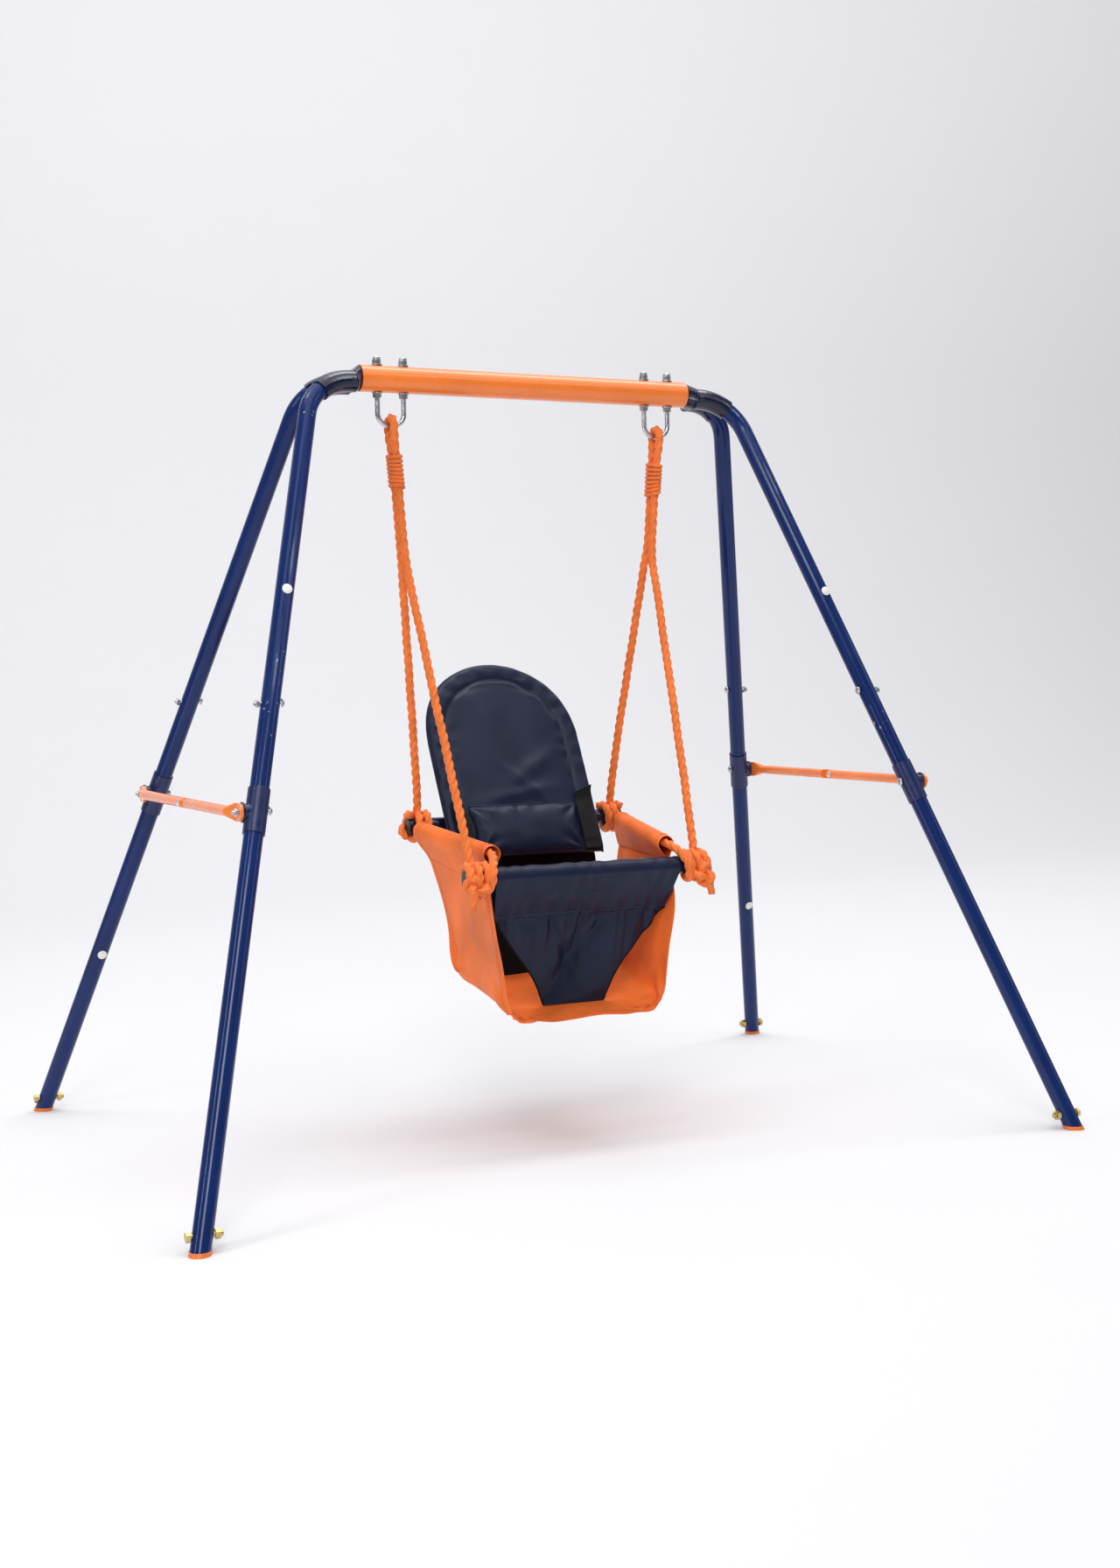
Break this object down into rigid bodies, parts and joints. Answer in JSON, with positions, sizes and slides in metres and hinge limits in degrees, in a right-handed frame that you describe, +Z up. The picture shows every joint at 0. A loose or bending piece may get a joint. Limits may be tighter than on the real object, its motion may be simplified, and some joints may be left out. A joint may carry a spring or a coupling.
{
  "type": "toddler swing set",
  "caption": "Folding tubular A-frame swing set with a fabric bucket seat hung on ropes from U-bolts under the crossbar.",
  "frame": {"origin": "on the ground, midway between the four feet, under the middle of the crossbar", "axes": "+Z up, X along the crossbar, the seat's front faces -Y"},
  "size_m": [1.4544, 1.0078, 1.2362],
  "materials": {
    "black_fabric": "woven",
    "black_plastic": "moulded",
    "black_webbing": "ribbed webbing",
    "dark_navy_powder_coat": "glossy powder coat",
    "grey_plastic": "moulded",
    "navy_nylon": "woven nylon",
    "navy_plastic": "moulded",
    "navy_powder_coat": "glossy powder coat",
    "orange_canvas": "coated woven cloth",
    "orange_plastic": "moulded",
    "orange_powder_coat": "glossy powder coat",
    "orange_rope": "braided cord",
    "rivet_metal": "nickel plate",
    "seat_bar_paint": "glossy paint",
    "stiffener_board": "sheet",
    "white_plastic": "moulded",
    "yellow_zinc": "yellow zinc plate",
    "zinc_steel": "bright zinc plate"
  },
  "bodies": {
    "frame": {"crossbar_sleeve": "orange_powder_coat", "elbow_left": "dark_navy_powder_coat", "elbow_right": "dark_navy_powder_coat", "sleeve_screws": "zinc_steel", "elbow_rivets": "dark_navy_powder_coat", "leg_pivot_pins": "zinc_steel", "ubolt_left": "zinc_steel", "ubolt_right": "zinc_steel", "ubolt_nuts": "zinc_steel", "upper_leg_front_left": "navy_powder_coat", "upper_leg_front_right": "navy_powder_coat", "lower_leg_front_left": "navy_powder_coat", "lower_leg_front_right": "navy_powder_coat", "foot_plugs_front": "orange_plastic", "hole_plugs_front": "white_plastic", "leg_bolts_front": "zinc_steel", "brace_saddles_front": "navy_plastic", "saddle_plates_front": "grey_plastic", "anchor_bolts_front": "yellow_zinc"},
    "rear_leg_left": {"upper_leg_rear_left": "navy_powder_coat", "lower_leg_rear_left": "navy_powder_coat", "foot_plug_rear_left": "orange_plastic", "hole_plug_rear_left": "white_plastic", "leg_bolts_rear_left": "zinc_steel", "brace_saddle_rear_left": "navy_plastic", "saddle_plate_rear_left": "grey_plastic", "anchor_bolt_rear_left": "yellow_zinc"},
    "rear_leg_right": {"upper_leg_rear_right": "navy_powder_coat", "lower_leg_rear_right": "navy_powder_coat", "foot_plug_rear_right": "orange_plastic", "hole_plug_rear_right": "white_plastic", "leg_bolts_rear_right": "zinc_steel", "brace_saddle_rear_right": "navy_plastic", "saddle_plate_rear_right": "grey_plastic", "anchor_bolt_rear_right": "yellow_zinc"},
    "front_brace_left": {"brace_front_left": "orange_powder_coat", "brace_rivet_left": "rivet_metal"},
    "rear_brace_left": {"brace_rear_left": "orange_powder_coat", "brace_end_nut_left": "zinc_steel"},
    "front_brace_right": {"brace_front_right": "orange_powder_coat", "brace_rivet_right": "rivet_metal"},
    "rear_brace_right": {"brace_rear_right": "orange_powder_coat", "brace_end_nut_right": "zinc_steel"},
    "seat": {"front_bar": "seat_bar_paint", "rear_bar": "seat_bar_paint", "bar_end_caps": "black_plastic", "side_sling": "orange_canvas", "front_panel": "navy_nylon", "backrest_pad": "navy_nylon", "backrest_board": "stiffener_board", "lumbar_pad": "navy_nylon", "seat_back_panel": "black_fabric", "webbing_straps": "black_webbing", "rope_left": "orange_rope", "rope_right": "orange_rope", "rope_seizings": "orange_rope", "front_knots": "orange_rope", "rear_knots": "orange_rope", "sleeve_ropes": "orange_rope"}
  },
  "joints": [
    {"name": "seat_swing", "type": "hinge", "parent": "frame", "child": "seat", "pos_m": [0, 0, 1.128], "axis": [1, 0, 0], "range_deg": [-40, 40]},
    {"name": "left_leg_fold", "type": "hinge", "parent": "frame", "child": "rear_leg_left", "pos_m": [-0.3, 0.0155, 1.192], "axis": [-1, 0, 0], "range_deg": [0, 30.5]},
    {"name": "left_front_brace_fold", "type": "hinge", "parent": "frame", "child": "front_brace_left", "pos_m": [-0.57867, -0.26998, 0.55], "axis": [1, 0, 0], "range_deg": [0, 57.49]},
    {"name": "left_middle_brace_fold", "type": "hinge", "parent": "front_brace_left", "child": "rear_brace_left", "pos_m": [-0.58467, 0, 0.55], "axis": [-1, 0, 0], "range_deg": [0, 140.34]},
    {"name": "right_leg_fold", "type": "hinge", "parent": "frame", "child": "rear_leg_right", "pos_m": [0.3, 0.0155, 1.192], "axis": [-1, 0, 0], "range_deg": [0, 30.5]},
    {"name": "right_front_brace_fold", "type": "hinge", "parent": "frame", "child": "front_brace_right", "pos_m": [0.57867, -0.26998, 0.55], "axis": [1, 0, 0], "range_deg": [0, 57.49]},
    {"name": "right_middle_brace_fold", "type": "hinge", "parent": "front_brace_right", "child": "rear_brace_right", "pos_m": [0.58467, 0, 0.55], "axis": [-1, 0, 0], "range_deg": [0, 140.34]}
  ],
  "couplings": [
    {"joint": "left_front_brace_fold", "follows": "left_leg_fold", "ratio": 1.8834},
    {"joint": "left_middle_brace_fold", "follows": "left_leg_fold", "ratio": 4.5996},
    {"joint": "right_front_brace_fold", "follows": "right_leg_fold", "ratio": 1.8834},
    {"joint": "right_middle_brace_fold", "follows": "right_leg_fold", "ratio": 4.5996}
  ]
}
